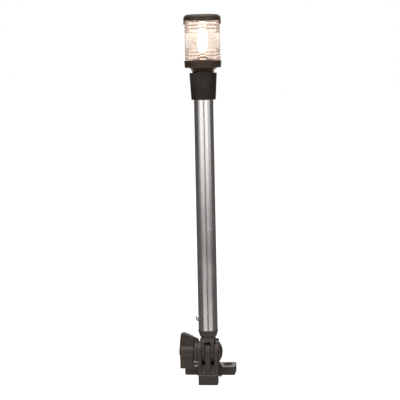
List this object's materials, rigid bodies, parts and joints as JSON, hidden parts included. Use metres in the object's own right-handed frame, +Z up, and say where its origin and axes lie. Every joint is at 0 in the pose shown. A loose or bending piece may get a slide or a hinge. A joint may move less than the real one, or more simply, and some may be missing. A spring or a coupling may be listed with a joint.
{
  "type": "fold-down all-round navigation light",
  "caption": "All-round white boat light on a tubular pole that folds down on a knuckle hinge, clamped by a wing knob on a screw-down base with two ears.",
  "frame": {"origin": "on the seat under the mounting ears, midway between their two screw holes", "axes": "+Z up along the raised pole, +X along the hinge bolt towards its dome cap, -Y the side the pole folds down to"},
  "size_m": [0.0722, 0.0647, 0.485],
  "materials": {
    "base_plastic": "fine-grained black glass-filled nylon, faded slightly brown",
    "cap_plastic": "semi-gloss black acetal",
    "neck_plastic": "glossy black moulded plastic",
    "collar_rubber": "satin black rubber",
    "pole_aluminium": "satin anodised, drawn along its length",
    "stainless": "turned stainless steel",
    "brass": "plain machined brass",
    "lens_clear": "clear moulded polycarbonate",
    "gasket_rubber": "matt black nitrile rubber",
    "socket_plastic": "brown-black moulded phenolic",
    "nickel": "nickel-plated brass",
    "bulb_clear": "clear lamp glass",
    "filament_wire": "tungsten, lit",
    "lead_red": "red PVC-insulated wire",
    "lead_black": "black PVC-insulated wire"
  },
  "bodies": {
    "base": {"base_body": "base_plastic", "pivot_bolt": "stainless", "dome_cap": "base_plastic"},
    "clamp_washer": {"knob_washer": "base_plastic"},
    "wing_knob": {"knob": "base_plastic", "knob_nut": "brass"},
    "pole": {"pole_post": "base_plastic", "outlet_grommet": "gasket_rubber", "pole_tube": "pole_aluminium", "pole_screw": "stainless", "head_collar": "collar_rubber", "lamp_base": "neck_plastic", "lens_gasket": "gasket_rubber", "socket_base": "socket_plastic", "socket_screws": "stainless", "socket_shell": "nickel", "centre_contact": "brass", "ground_rivet": "brass", "positive_lead": "lead_red", "negative_lead": "lead_black"},
    "lens_assembly": {"lens": "lens_clear", "top_cap": "cap_plastic"},
    "bulb": {"bulb_base": "nickel", "bulb_tip": "nickel", "bulb_glass": "bulb_clear", "filament": "filament_wire", "filament_supports": "nickel"}
  },
  "joints": [
    {"name": "pole_fold", "type": "hinge", "parent": "base", "child": "pole", "pos_m": [0, -0.025, 0.0341], "axis": [1, 0, 0], "range_deg": [0, 90]},
    {"name": "clamp_slide", "type": "slide", "parent": "base", "child": "clamp_washer", "axis": [-1, 0, 0], "range_m": [0, 0.00201]},
    {"name": "knob_turn", "type": "hinge", "parent": "clamp_washer", "child": "wing_knob", "pos_m": [-0.02, -0.025, 0.0341], "axis": [-1, 0, 0], "range_deg": [0, 720]},
    {"name": "lens_lift", "type": "slide", "parent": "pole", "child": "lens_assembly", "axis": [0, 0, 1], "range_m": [0, 0.08]},
    {"name": "bulb_pull", "type": "slide", "parent": "pole", "child": "bulb", "axis": [0, 0, 1], "range_m": [0, 0.016]}
  ],
  "couplings": [
    {"joint": "clamp_slide", "follows": "knob_turn", "m_per_rad": 0.00015915}
  ]
}
